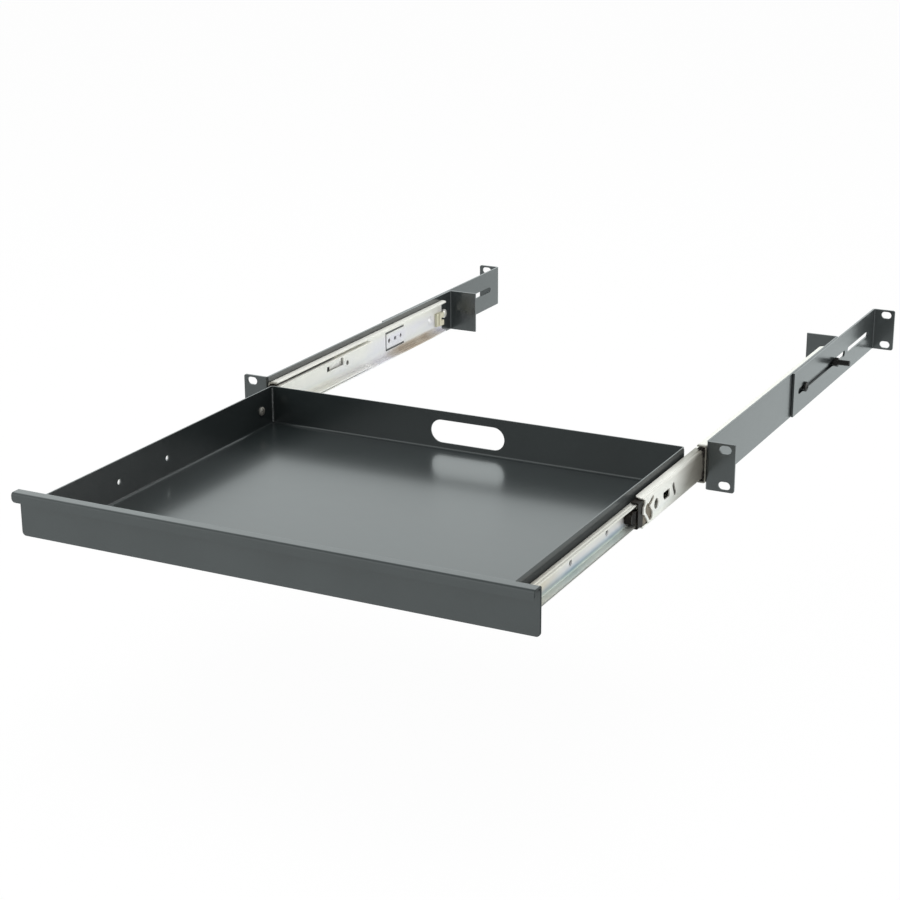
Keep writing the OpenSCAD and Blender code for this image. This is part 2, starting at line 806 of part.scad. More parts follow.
drawer_tray();
front_panel();
panel_studs();
panel_nuts();
on_left() inner_member();  // inner_member_l
inner_member();  // inner_member_r
on_left() middle_member();  // middle_member_l
middle_member();  // middle_member_r
on_left() outer_member();  // outer_member_l
outer_member();  // outer_member_r
on_left() inner_cage();  // inner_cage_l
inner_cage();  // inner_cage_r
on_left() inner_balls();  // inner_balls_l
inner_balls();  // inner_balls_r
on_left() outer_cage();  // outer_cage_l
outer_cage();  // outer_cage_r
on_left() outer_balls();  // outer_balls_l
outer_balls();  // outer_balls_r
on_left() release_lever();  // release_lever_l
release_lever();  // release_lever_r
on_left() lever_pin();  // lever_pin_l
lever_pin();  // lever_pin_r
on_left() rear_bumper();  // rear_bumper_l
rear_bumper();  // rear_bumper_r
on_left() front_rail();  // front_rail_l
front_rail();  // front_rail_r
on_left() rear_bracket();  // rear_bracket_l
rear_bracket();  // rear_bracket_r
on_both() front_clamp_screw();  // front_clamp_screws
on_both() rear_clamp_screw();  // rear_clamp_screws
on_left() clamp_nuts();  // clamp_nuts_l
clamp_nuts();  // clamp_nuts_r
on_left() slide_rivets();  // slide_rivets_l
slide_rivets();  // slide_rivets_r
on_left() drawer_screws();  // drawer_screws_l
drawer_screws();  // drawer_screws_r
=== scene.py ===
"""Looks of a sliding rack drawer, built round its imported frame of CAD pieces."""

import json
import math

import bmesh
import bpy
from bpy.props import FloatProperty, FloatVectorProperty, IntProperty, PointerProperty
from mathutils import Euler, Matrix, Vector


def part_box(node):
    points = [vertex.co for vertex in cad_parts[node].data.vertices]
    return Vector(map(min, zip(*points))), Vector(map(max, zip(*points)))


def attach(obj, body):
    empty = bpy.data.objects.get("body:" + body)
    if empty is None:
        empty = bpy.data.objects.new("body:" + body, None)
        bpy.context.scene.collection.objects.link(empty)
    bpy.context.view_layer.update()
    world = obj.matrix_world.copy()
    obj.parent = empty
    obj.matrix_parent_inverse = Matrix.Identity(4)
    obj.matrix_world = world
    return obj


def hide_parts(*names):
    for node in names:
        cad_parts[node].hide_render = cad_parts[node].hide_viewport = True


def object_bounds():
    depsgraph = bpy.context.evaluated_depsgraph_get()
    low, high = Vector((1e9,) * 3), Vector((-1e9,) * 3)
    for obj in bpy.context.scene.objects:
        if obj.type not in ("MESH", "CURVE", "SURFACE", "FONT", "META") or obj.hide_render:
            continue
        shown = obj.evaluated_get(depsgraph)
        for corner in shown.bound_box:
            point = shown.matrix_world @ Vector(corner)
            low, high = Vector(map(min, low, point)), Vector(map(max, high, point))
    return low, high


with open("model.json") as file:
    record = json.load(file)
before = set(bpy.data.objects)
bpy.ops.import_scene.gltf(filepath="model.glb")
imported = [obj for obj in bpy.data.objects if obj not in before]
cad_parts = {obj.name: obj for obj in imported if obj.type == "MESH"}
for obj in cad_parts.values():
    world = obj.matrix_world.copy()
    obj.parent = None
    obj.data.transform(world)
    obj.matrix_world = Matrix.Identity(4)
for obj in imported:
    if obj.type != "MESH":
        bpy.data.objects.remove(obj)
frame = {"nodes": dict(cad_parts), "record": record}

bl_info = {
    "name": "Rack Drawer",
    "version": (1, 0, 0),
    "blender": (4, 5, 0),
    "location": "View3D > Sidebar > Rack Drawer",
    "description": "Finishes a sliding rack drawer and sets it on a plain stage",
    "category": "Object",
}

MM = 0.001
SIDES = ("l", "r")
CAD_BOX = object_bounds()

# Places on the CAD pieces, in millimetres
TRAY_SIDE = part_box("drawer_tray")[1][0] / MM
TRAY_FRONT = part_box("drawer_tray")[0][1] / MM
TRAY_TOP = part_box("drawer_tray")[1][2] / MM
PANEL_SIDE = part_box("front_panel")[1][0] / MM
INNER_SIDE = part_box("inner_member_r")[1][0] / MM
INNER_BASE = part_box("inner_member_r")[0][2] / MM
MIDDLE_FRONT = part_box("middle_member_r")[0][1] / MM
CAGE_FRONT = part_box("inner_cage_r")[0][1] / MM
RAIL_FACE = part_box("slide_rivets_r")[1][0] / MM
MOUNT_PLANE = 0.0


# Settings

class DrawerFinish(bpy.types.PropertyGroup):
    """Colours and surface sizes of the drawer's finishes"""
    paint_color: FloatVectorProperty(
        name="Paint colour", description="Powder coat of the sheet metal", subtype="COLOR",
        size=3, min=0, max=1, default=(0.0155, 0.0203, 0.0208))
    zinc_color: FloatVectorProperty(
        name="Zinc colour", description="Bright zinc plating of the slides", subtype="COLOR",
        size=3, min=0, max=1, default=(0.93, 0.92, 0.86))
    plastic_color: FloatVectorProperty(
        name="Black plastic", description="Ball cages and release levers", subtype="COLOR",
        size=3, min=0, max=1, default=(0.014, 0.011, 0.009))
    bumper_color: FloatVectorProperty(
        name="Bumper plastic", description="Soft bumpers at the rear of the slides", subtype="COLOR",
        size=3, min=0, max=1, default=(0.66, 0.64, 0.49))
    sheet_edge: FloatProperty(
        name="Sheet edge", description="Rounding of the painted sheet's edges", unit="LENGTH",
        min=0.0001, max=0.001, default=0.0003)
    slide_edge: FloatProperty(
        name="Slide edge", description="Rounding of the slide members' edges", unit="LENGTH",
        min=0.00005, max=0.0005, default=0.00018)
    grain: FloatProperty(
        name="Paint grain", description="Width of a grain in the powder coat", unit="LENGTH",
        min=0.0002, max=0.003, default=0.0009)


class DrawerStage(bpy.types.PropertyGroup):
    """Camera and light of the stage"""
    azimuth: FloatProperty(
        name="Azimuth", description="Direction of the camera round the drawer", subtype="ANGLE",
        default=math.radians(27.057))
    elevation: FloatProperty(
        name="Elevation", description="Height of the camera above the horizon", subtype="ANGLE",
        default=math.radians(18.356))
    roll: FloatProperty(
        name="Roll", description="Tilt of the camera about its own axis", subtype="ANGLE",
        default=math.radians(-0.219))
    distance: FloatProperty(
        name="Distance", description="Distance from the camera to the mounting plane", unit="LENGTH",
        min=0.5, max=10, default=1.76348)
    aside: FloatProperty(
        name="Aside", description="How far right of the picture's middle the origin lies",
        unit="LENGTH", default=0.02339)
    above: FloatProperty(
        name="Above", description="How far above the picture's middle the origin lies",
        unit="LENGTH", default=0.01775)
    lens: FloatProperty(
        name="Lens", description="Focal length in millimetres, on a sensor 36 mm wide",
        min=10, max=300, default=79.48)
    floor_drop: FloatProperty(
        name="Floor drop", description="How far the floor lies below the drawer", unit="LENGTH",
        min=0, max=1, default=0.16)


# Nodes

class Sock:
    """A node socket that takes part in Python expressions"""

    def __init__(self, nodes, socket):
        self.nodes = nodes
        self.socket = socket

    def math(self, operation, *others):
        return self.nodes.node("ShaderNodeMath", {"operation": operation}, (self, *others))

    def __add__(self, other):
        return self.math("ADD", other)

    def __sub__(self, other):
        return self.math("SUBTRACT", other)

    def __mul__(self, other):
        return self.math("MULTIPLY", other)

    def __radd__(self, other):
        return self + other

    def __rmul__(self, other):
        return self * other

    def __rsub__(self, other):
        return self.nodes.node("ShaderNodeMath", {"operation": "SUBTRACT"}, (other, self))


class Nodes:
    """A node tree under construction"""

    def __init__(self, tree):
        self.tree = tree

    def node(self, kind, settings=None, inputs=(), output=0):
        """Adds a node with its settings and the values or links of its inputs"""
        node = self.tree.nodes.new(kind)
        for key, value in (settings or {}).items():
            if key == "stops":
                set_stops(node.color_ramp.elements, value)
            else:
                setattr(node, key, value)
        pairs = inputs.items() if isinstance(inputs, dict) else enumerate(inputs)
        for key, value in pairs:
            self.join(node.inputs[key], value)
        return Sock(self, node.outputs[output])

    def join(self, target, value):
        """Links a socket or each one of a list, or sets a value"""
        if isinstance(value, list):
            for part in value:
                self.join(target, part)
        elif isinstance(value, Sock):
            self.tree.links.new(value.socket, target)
        else:
            target.default_value = value

    def ramp(self, value, low, high, start=0.0, end=1.0):
        """Maps value from low..high to start..end, held at both ends"""
        inputs = {"Value": value, "From Min": low, "From Max": high, "To Min": start, "To Max": end}
        return self.node("ShaderNodeMapRange", None, inputs)

    def blend(self, share, first, second):
        """Colour mix of first and second"""
        return self.node("ShaderNodeMix", {"data_type": "RGBA"}, {0: share, 6: first, 7: second}, output=2)

    def place(self, kind="Object"):
        """Coordinates of the shaded point"""
        return self.node("ShaderNodeTexCoord", output=kind)

    def axis(self, name, kind="Object"):
        """One of the coordinates"""
        return self.node("ShaderNodeSeparateXYZ", None, (self.place(kind),), output="XYZ".index(name))


class Finish(Nodes):
    """A material under construction"""

    def __init__(self, name):
        self.material = bpy.data.materials.new(name)
        self.material.use_nodes = True
        super().__init__(self.material.node_tree)
        self.shader = self.tree.nodes["Principled BSDF"]

    def stretch(self, x, y, z):
        """Object coordinates scaled along each axis"""
        return self.node("ShaderNodeVectorMath", {"operation": "MULTIPLY"}, (self.place(), (x, y, z)))

    def noise(self, size, detail=2.0, roughness=0.5, place=None):
        """Soft noise whose blots are about size metres wide"""
        inputs = {"Vector": place or self.place(), "Scale": 1 / size, "Detail": detail,
                  "Roughness": roughness}
        return self.node("ShaderNodeTexNoise", None, inputs)

    def measure(self, name):
        """Place along the drawer, up it, away from its middle plane, or on a slant along and down"""
        if name == "side":
            return self.axis("X").math("ABSOLUTE")
        if name == "slant":
            return self.axis("Y") - self.axis("Z") * 1.5
        return self.axis({"along": "Y", "height": "Z"}[name])

    def within(self, *edges):
        """Share that is 1 inside all edges: each is a measure, where it starts, and where it is full"""
        ramps = [self.ramp(self.measure(name), start * MM, full * MM) for name, start, full in edges]
        return math.prod(ramps[1:], start=ramps[0])

    def bump(self, height, strength, depth):
        inputs = {"Height": height, "Strength": strength, "Distance": depth}
        self.join(self.shader.inputs["Normal"], self.node("ShaderNodeBump", None, inputs))

    def set(self, **values):
        for key, value in values.items():
            self.join(self.shader.inputs[key.replace("_", " ")], value)


def set_stops(steps, stops):
    """Gives a colour ramp its stops, in rising order"""
    for i, (place, color) in enumerate(stops):
        step = steps[i] if i < len(steps) else steps.new(place)
        step.position, step.color = place, color


def shade(color, factor):
    """A colour with alpha, lightened or darkened"""
    return tuple(min(1.0, part * factor) for part in color) + (1.0,)


# Finishes

BUMP_DEPTH = 0.04 * MM
PAINT_CLOUD = 60 * MM

# Edges of the dull places, in millimetres: the tray's walls beside the slides, the rubbed strip along
# their top, and the front panel's ends
WALL_BAND = (
    ("side", TRAY_SIDE - 0.4, TRAY_SIDE - 0.1), ("side", TRAY_SIDE + 1.3, TRAY_SIDE + 0.8),
    ("along", TRAY_FRONT + 1, TRAY_FRONT + 1.5), ("along", MOUNT_PLANE, MOUNT_PLANE - 0.5),
)
WALL_RUBBED = (TRAY_TOP - 3.5, TRAY_TOP - 4.5)
PANEL_ENDS = (("side", PANEL_SIDE - 0.6, PANEL_SIDE - 0.3), ("along", TRAY_FRONT + 2.5, TRAY_FRONT + 1.5))


def paint_finish(settings):
    """Satin powder coat: fine orange peel, faint clouds, dull beside the slides and at the panel's ends"""
    finish = Finish("black_paint")
    cloud = finish.noise(PAINT_CLOUD, 3)
    fine = finish.noise(settings.grain, 2, 0.6)
    peel = finish.noise(settings.grain * 3, 1)
    color = settings.paint_color
    base = finish.blend(finish.ramp(cloud, 0.35, 0.65), shade(color, 0.9), shade(color, 1.1))
    speck = finish.ramp(fine, 0.62, 0.72)
    rubbed = finish.ramp(finish.axis("Z"), WALL_RUBBED[0] * MM, WALL_RUBBED[1] * MM, 0.65, 1.0)
    dull = (finish.within(*WALL_BAND) * rubbed).math("MAXIMUM", finish.within(*PANEL_ENDS))
    finish.set(Base_Color=finish.blend(speck * 0.35, base, shade(color, 1.8)))
    finish.set(Roughness=finish.ramp(cloud, 0.3, 0.7, 0.28, 0.34) + speck * 0.05 + dull * 0.35)
    finish.set(Coat_Weight=finish.ramp(cloud, 0.3, 0.7, 0.92, 1.0) * (1 - dull))
    finish.set(Coat_Roughness=0.18, Coat_IOR=1.6)
    finish.bump(fine * 0.5 + peel, 0.15, BUMP_DEPTH)
    return finish.material


# Colour bands painted on the zinc by height, from the bottom of a slide member to its top, as shares of the
# zinc's colour, and where they set in along the slide, in millimetres. They are painted reflections along the
# folds, blue-teal low on the web and near-white above, darkened by a painted shade.
BAND_SPAN = 34 * MM
# Painted shade that darkens all the colour bands
BAND_SHADE = 0.85
REFLECTION_BANDS = (
    (0.0, (1.00, 1.00, 0.96)), (0.25, (0.96, 1.02, 1.00)), (0.285, (0.66, 0.86, 0.90)),
    (0.33, (0.34, 0.50, 0.70)), (0.38, (0.64, 0.75, 0.96)), (0.46, (0.94, 0.93, 1.02)),
    (0.62, (0.98, 0.98, 0.97)), (0.85, (1.02, 1.01, 0.96)),
)
BANDED = (MIDDLE_FRONT - 5, MIDDLE_FRONT - 25)

# Colour marks on the zinc: colour, least and most share, and the edges of the place in millimetres.
# The lilac and the gold are a tint of the zinc; the others are painted reflection and painted shade.
ZINC_MARKS_AND_SHADE = {
    "lilac": ((0.78, 0.77, 0.90), 0.0, 0.7, (("along", 100, 200), ("height", 10, 2))),
    "gold": ((0.56, 0.46, 0.25), 0.85, 0.85,
             (("along", -270, -340), ("height", 11, 4), ("height", -8, -2))),
    # Painted reflection: brown on the low flange at the rear of the slides
    "brown": ((0.33, 0.21, 0.085), 0.5, 0.95,
              (("along", 220, 255), ("along", 340, 310), ("height", -9, -11.5))),
    # Painted shade: a dark line along the lower outer edge of the inner member, in front of the middle member
    "dark edge": ((0.08, 0.075, 0.06), 0.85, 0.85,
                  (("side", INNER_SIDE - 0.5, INNER_SIDE - 0.2),
                   ("height", INNER_BASE + 1.3, INNER_BASE + 1.1),
                   ("along", MIDDLE_FRONT, MIDDLE_FRONT - 5))),
    # Painted reflection of the dark front ear, with painted shade, on the zinc just in front of the mounting
    # plane
    "grease": ((0.15, 0.135, 0.10), 0.85, 0.85,
               (("slant", -85, -30), ("along", MOUNT_PLANE + 4, MOUNT_PLANE))),
}


def zinc_finish(settings):
    """Bright zinc on rolled strip: draw lines, a lilac and a gold tint, painted reflections in bands along
    the folds, low at the rear and by the front ear, and painted shade under the inner member's edge
    """
    finish = Finish("zinc")
    lines = finish.noise(1.4 * MM, 2, 0.5, finish.stretch(1, 0.01, 1))
    broad = finish.noise(45 * MM, 2, 0.5, finish.stretch(1, 0.6, 1))
    drift = finish.noise(70 * MM, 1, 0.5, finish.stretch(1, 0.7, 1))
    color = settings.zinc_color
    stops = [(place, shade([a * b for a, b in zip(color, part)], BAND_SHADE)) for place, part in REFLECTION_BANDS]
    level = finish.axis("Z") * (1 / BAND_SPAN) + 0.5 + (drift - 0.5) * 0.08
    # Painted reflections as colour bands by height, full in front of the middle member and faint behind it
    bands = finish.node("ShaderNodeValToRGB", {"stops": stops}, (level,))
    banded = finish.ramp(finish.axis("Y"), BANDED[0] * MM, BANDED[1] * MM, 0.12, 1.0)
    base = finish.blend(banded * finish.ramp(broad, 0.3, 0.6, 0.55, 1.0), shade(color, 1), bands)
    # Lays the lilac and gold tint, and the painted reflections and shade, over the zinc
    for mark_color, least, most, edges in ZINC_MARKS_AND_SHADE.values():
        share = finish.within(*edges) * finish.ramp(broad, 0.35, 0.6, least, most)
        base = finish.blend(share, base, shade(mark_color, 1))
    base = finish.blend(finish.ramp(lines, 0.3, 0.75, 0.0, 0.1), base, shade(color, 0.8))
    finish.set(Base_Color=base, Metallic=0.38)
    finish.set(Roughness=finish.ramp(broad, 0.3, 0.7, 0.32, 0.42))
    finish.bump(lines, 0.04, BUMP_DEPTH)
    return finish.material


BARE_STEEL = (0.74, 0.75, 0.77, 1)
GREASED_STEEL = (0.6, 0.57, 0.48, 1)


def ball_finish(settings):
    """Polished balls, thinly greased in patches"""
    finish = Finish("ball_steel")
    film_and_reflection = finish.noise(1.5 * MM, 2)
    finish.set(Base_Color=finish.blend(finish.ramp(film_and_reflection, 0.4, 0.7, 0, 0.6), BARE_STEEL, GREASED_STEEL))
    finish.set(Metallic=1.0, Roughness=finish.ramp(film_and_reflection, 0.3, 0.7, 0.06, 0.2))
    return finish.material


# Brown painted reflection on the cages near their front ends, standing in for shaded zinc seen through the
# middle member's slot
SLOT_REFLECTION_COLOR = (0.23, 0.20, 0.155, 1)
SLOT_REFLECTION_BAND = (("along", CAGE_FRONT + 9, CAGE_FRONT + 12), ("along", CAGE_FRONT + 32, CAGE_FRONT + 29))


def moulded_finish(name, color, wear=3.0, roughness=0.42, sheen=0.18, film_and_reflection=0.0):
    """Moulded plastic: fine spark texture, paler rubbed spots and a brown painted reflection near the cages'
    ends
    """
    finish = Finish(name)
    spark = finish.noise(0.5 * MM, 2, 0.6)
    patch = finish.noise(6 * MM, 2)
    base = finish.blend(finish.ramp(patch, 0.45, 0.75, 0, 0.5), shade(color, 1), shade(color, wear))
    # Only the cages take the brown painted reflection
    if film_and_reflection:
        share = finish.within(*SLOT_REFLECTION_BAND) * finish.ramp(patch, 0.2, 0.6, film_and_reflection * 0.7, film_and_reflection)
        base = finish.blend(share, base, SLOT_REFLECTION_COLOR)
    finish.set(Base_Color=base, Roughness=finish.ramp(patch, 0.3, 0.7, roughness, roughness + 0.12))
    finish.set(Specular_IOR_Level=sheen)
    finish.bump(spark, 0.3, BUMP_DEPTH)
    return finish.material


OXIDE = (0.02, 0.02, 0.02, 1)
WORN_OXIDE = (0.07, 0.065, 0.06, 1)


def oxide_finish(settings, bright_heads=False):
    """Black oxide on turned steel, and bright plating on screw heads inside the rails"""
    finish = Finish("black_oxide")
    turn = finish.noise(0.8 * MM, 2, 0.6)
    base = finish.blend(finish.ramp(turn, 0.4, 0.8), OXIDE, WORN_OXIDE)
    if bright_heads:
        bright = finish.within(("side", RAIL_FACE + 0.2, RAIL_FACE))
        base = finish.blend(bright, base, shade(settings.zinc_color, 0.95))
    finish.set(Base_Color=base, Metallic=0.7, Roughness=finish.ramp(turn, 0.3, 0.7, 0.35, 0.5))
    finish.bump(turn, 0.2, BUMP_DEPTH)
    return finish.material


PAINTED_WELD = (0.13, 0.14, 0.14, 1)
WORN_WELD = (0.30, 0.31, 0.31, 1)


def weld_finish(settings):
    """Seam bead along a corner, painted thinly"""
    finish = Finish("weld")
    crust = finish.noise(1.2 * MM, 2, 0.6)
    finish.set(Base_Color=finish.blend(finish.ramp(crust, 0.35, 0.65), PAINTED_WELD, WORN_WELD))
    finish.set(Roughness=finish.ramp(crust, 0.3, 0.7, 0.35, 0.55))
    finish.bump(crust, 0.3, 0.1 * MM)
    return finish.material


MAKERS = {
    "black_paint": paint_finish,
    "zinc": zinc_finish,
    "ball_steel": ball_finish,
    "black_oxide": oxide_finish,
    "black_plastic": lambda s: moulded_finish("black_plastic", s.plastic_color),
    "cage_plastic": lambda s: moulded_finish("cage_plastic", s.plastic_color, film_and_reflection=0.95),
    "clamp_steel": lambda s: oxide_finish(s, bright_heads=True),
    "weld": weld_finish,
    "beige_plastic": lambda s: moulded_finish("beige_plastic", s.bumper_color, wear=0.85,
                                              roughness=0.45, sheen=0.5),
}


def finish_named(slot):
    """The material of a slot, made when it is first asked for"""
    found = bpy.data.materials.get(slot + "_finish")
    if not found:
        found = MAKERS[slot](bpy.context.scene.drawer_finish)
        found.name = slot + "_finish"
    return found


# Pieces

SLOT_OF = {row["node"]: row["material_slot"] for row in frame["record"]["subparts"]}
BODY_OF = {node: body for body, nodes in frame["record"]["behaviour"]["bodies"].items()
           for node in nodes}
MERGE = 2e-6
FLAT = math.radians(0.5)
CORNER = math.radians(28)


def as_piece(mesh, name, node, look=None):
    """Links a mesh as a finished piece that stands for a CAD node"""
    piece = bpy.data.objects.new(name, mesh)
    bpy.context.scene.collection.objects.link(piece)
    mesh.materials.clear()
    mesh.materials.append(finish_named(look or SLOT_OF[node]))
    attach(piece, BODY_OF[node])
    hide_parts(node)
    return piece


def soft_copy(node, edge):
    """Mesh of a CAD node, merged, with its sharp edges rounded by edge"""
    bm = bmesh.new()
    bm.from_mesh(frame["nodes"][node].data)
    bmesh.ops.remove_doubles(bm, verts=bm.verts, dist=MERGE)
    bmesh.ops.dissolve_limit(bm, angle_limit=FLAT, verts=bm.verts, edges=bm.edges)
    sharp = [e for e in bm.edges if len(e.link_faces) == 2 and e.calc_face_angle(0) > CORNER]
    bmesh.ops.bevel(bm, geom=sharp, offset=edge, segments=2, profile=0.5, affect="EDGES",
                    clamp_overlap=True)
    for face in bm.faces:
        face.smooth = True
    mesh = bpy.data.meshes.new(node)
    bm.to_mesh(mesh)
    bm.free()
    mesh.set_sharp_from_angle(angle=CORNER)
    return mesh


def dress(node, edge, look=None):
    """Replaces a CAD node with a copy that has rounded edges and a finish"""
    piece = as_piece(soft_copy(node, edge), node + "_piece", node, look)
    weigh = piece.modifiers.new("even_normals", "WEIGHTED_NORMAL")
    weigh.keep_sharp = True


# Pieces that node trees make

class Growth(Nodes):
    """A geometry tree under construction, with named inputs and a finish"""

    def __init__(self, name, kinds):
        super().__init__(bpy.data.node_groups.new(name, "GeometryNodeTree"))
        face = self.tree.interface
        face.new_socket("Geometry", in_out="OUTPUT", socket_type="NodeSocketGeometry")
        for label, kind in (kinds | {"Finish": "Material"}).items():
            face.new_socket(label, in_out="INPUT", socket_type="NodeSocket" + kind)
        self.source = self.tree.nodes.new("NodeGroupInput")

    def given(self, name):
        """A named input of the tree"""
        return Sock(self, self.source.outputs[name])

    def line(self, start, step, count):
        """Points in a straight line"""
        inputs = {"Count": count, "Start Location": start, "Offset": step}
        return self.node("GeometryNodeMeshLine", {"mode": "OFFSET"}, inputs)

    def copies(self, points, shape):
        """Ends the tree with real copies of a shape on points, in the given finish"""
        copies = self.node("GeometryNodeInstanceOnPoints", None, {"Points": points, "Instance": shape})
        whole = self.node("GeometryNodeRealizeInstances", None, (copies,))
        inputs = {"Geometry": whole, "Material": self.given("Finish")}
        dressed = self.node("GeometryNodeSetMaterial", None, inputs)
        self.join(self.tree.nodes.new("NodeGroupOutput").inputs[0], dressed)
        return self.tree


def rows_tree():
    """Node tree that sets balls along two straight rows"""
    rows = Growth("two_rows", {"First Row": "Vector", "Second Row": "Vector", "Step": "Vector",
                               "Count": "Int", "Radius": "Float"})
    size = {"Segments": 20, "Rings": 12, "Radius": rows.given("Radius")}
    ball = rows.node("GeometryNodeMeshUVSphere", None, size)
    smooth = rows.node("GeometryNodeSetShadeSmooth", None, (ball,))
    lines = [rows.line(rows.given(start), rows.given("Step"), rows.given("Count"))
             for start in ("First Row", "Second Row")]
    return rows.copies(rows.node("GeometryNodeJoinGeometry", None, (lines,)), smooth)


def thread_tree():
    """Node tree that sets a threaded bar across the middle plane on each side"""
    thread = Growth("two_threads", {"First": "Vector", "Step": "Vector", "Radius": "Float",
                                    "Length": "Float", "Turns": "Float", "Ridge": "Float"})
    radius, length = thread.given("Radius"), thread.given("Length")
    turns = {"Resolution": 24, "Rotations": thread.given("Turns"), "Start Radius": radius,
             "End Radius": radius, "Height": length}
    coil = thread.node("GeometryNodeCurveSpiral", None, turns)
    section = {"Resolution": 6, "Radius": thread.given("Ridge")}
    ridge = thread.node("GeometryNodeCurvePrimitiveCircle", None, section)
    wire = thread.node("GeometryNodeCurveToMesh", None, {"Curve": coil, "Profile Curve": ridge})
    down = thread.node("ShaderNodeCombineXYZ", None, {"Z": length * -0.5})
    wound = thread.node("GeometryNodeTransform", None, {"Geometry": wire, "Translation": down})
    core = thread.node("GeometryNodeMeshCylinder", None, {"Vertices": 32, "Radius": radius, "Depth": length})
    bar = thread.node("GeometryNodeJoinGeometry", None, ([wound, core],))
    across = thread.node("GeometryNodeTransform", None, {"Geometry": bar, "Rotation": (0, math.pi / 2, 0)})
    return thread.copies(thread.line(thread.given("First"), thread.given("Step"), 2), across)


def grown(tree, name, values):
    """Plain mesh that a node tree makes from the named values"""
    seed = bpy.data.objects.new(name, bpy.data.meshes.new(name))
    bpy.context.scene.collection.objects.link(seed)
    growth = seed.modifiers.new("growth", "NODES")
    growth.node_group = tree
    for item in tree.interface.items_tree:
        if item.in_out == "INPUT":
            growth[item.identifier] = values[item.name]
    bpy.context.view_layer.update()
    mesh = bpy.data.meshes.new_from_object(seed.evaluated_get(bpy.context.evaluated_depsgraph_get()))
    bpy.data.objects.remove(seed)
    return mesh


# Operators

class PieceOperator:
    bl_options = {"REGISTER", "UNDO"}


class RACKDRAWER_OT_tray(PieceOperator, bpy.types.Operator):
    """Folded tray with rounded sheet edges"""
    bl_idname = "rackdrawer.tray"
    bl_label = "Tray"

    def execute(self, context):
        dress("drawer_tray", context.scene.drawer_finish.sheet_edge)
        return {"FINISHED"}


class RACKDRAWER_OT_panel(PieceOperator, bpy.types.Operator):
    """Front panel with its pull lip"""
    bl_idname = "rackdrawer.panel"
    bl_label = "Front panel"

    def execute(self, context):
        dress("front_panel", context.scene.drawer_finish.sheet_edge)
        for node in ("panel_studs", "panel_nuts"):
            dress(node, context.scene.drawer_finish.slide_edge)
        return {"FINISHED"}


class RACKDRAWER_OT_rails(PieceOperator, bpy.types.Operator):
    """Front rails and rear brackets"""
    bl_idname = "rackdrawer.rails"
    bl_label = "Rails and brackets"

    def execute(self, context):
        for side in SIDES:
            dress("front_rail_" + side, context.scene.drawer_finish.sheet_edge)
            dress("rear_bracket_" + side, context.scene.drawer_finish.sheet_edge)
        return {"FINISHED"}


class RACKDRAWER_OT_slides(PieceOperator, bpy.types.Operator):
    """Outer, middle and inner slide members with their bumpers and rivets"""
    bl_idname = "rackdrawer.slides"
    bl_label = "Slides"

    def execute(self, context):
        edge = context.scene.drawer_finish.slide_edge
        for side in SIDES:
            for member in ("outer_member_", "middle_member_", "inner_member_", "rear_bumper_",
                           "slide_rivets_"):
                dress(member + side, edge)
        return {"FINISHED"}


class RACKDRAWER_OT_cages(PieceOperator, bpy.types.Operator):
    """Ball cages and release levers"""
    bl_idname = "rackdrawer.cages"
    bl_label = "Cages and levers"

    def execute(self, context):
        edge = context.scene.drawer_finish.slide_edge
        for side in SIDES:
            for part in ("inner_cage_", "outer_cage_"):
                dress(part + side, edge, "cage_plastic")
            dress("release_lever_" + side, edge)
            dress("lever_pin_" + side, edge, "black_oxide")
        return {"FINISHED"}


class RACKDRAWER_OT_balls(PieceOperator, bpy.types.Operator):
    """Rows of balls in the cages"""
    bl_idname = "rackdrawer.balls"
    bl_label = "Balls"

    count: IntProperty(name="Count", description="Balls in a row", default=7, min=2)

    def execute(self, context):
        tree = rows_tree()
        for side in SIDES:
            for where in ("inner_balls_", "outer_balls_"):
                node = where + side
                low, high = (Vector(corner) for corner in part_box(node))
                radius = (high.x - low.x) / 2
                middle = (low.x + high.x) / 2
                step = (high.y - low.y - 2 * radius) / (self.count - 1)
                values = {
                    "First Row": (middle, low.y + radius, low.z + radius),
                    "Second Row": (middle, low.y + radius, high.z - radius),
                    "Step": (0.0, step, 0.0), "Count": self.count, "Radius": radius,
                    "Finish": finish_named(SLOT_OF[node]),
                }
                as_piece(grown(tree, node, values), node + "_piece", node)
        return {"FINISHED"}


class RACKDRAWER_OT_welds(PieceOperator, bpy.types.Operator):
    """Seam beads in the tray's rear corners"""
    bl_idname = "rackdrawer.welds"
    bl_label = "Welds"

    step: FloatProperty(
        name="Step", description="Distance between beads", unit="LENGTH", default=0.0013, min=0.0005)
    radius: FloatProperty(
        name="Radius", description="Radius of a bead", unit="LENGTH", default=0.00115, min=0.0005)
    sheet: FloatProperty(
        name="Sheet", description="Thickness of the tray's sheet", unit="LENGTH", default=0.0012)

    def execute(self, context):
        low, high = (Vector(corner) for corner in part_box("drawer_tray"))
        x, y = high.x - self.sheet, high.y - self.sheet
        start = low.z + self.sheet + self.radius
        values = {
            "First Row": (-x, y, start), "Second Row": (x, y, start), "Step": (0.0, 0.0, self.step),
            "Count": int((high.z - self.radius - start) / self.step), "Radius": self.radius,
            "Finish": finish_named("weld"),
        }
        mesh = grown(rows_tree(), "drawer_welds", values)
        as_piece(mesh, "drawer_welds_piece", "drawer_tray", "weld")
        return {"FINISHED"}


# Radius of a thread's ridge as a share of the pitch
RIDGE_SHARE = 0.35


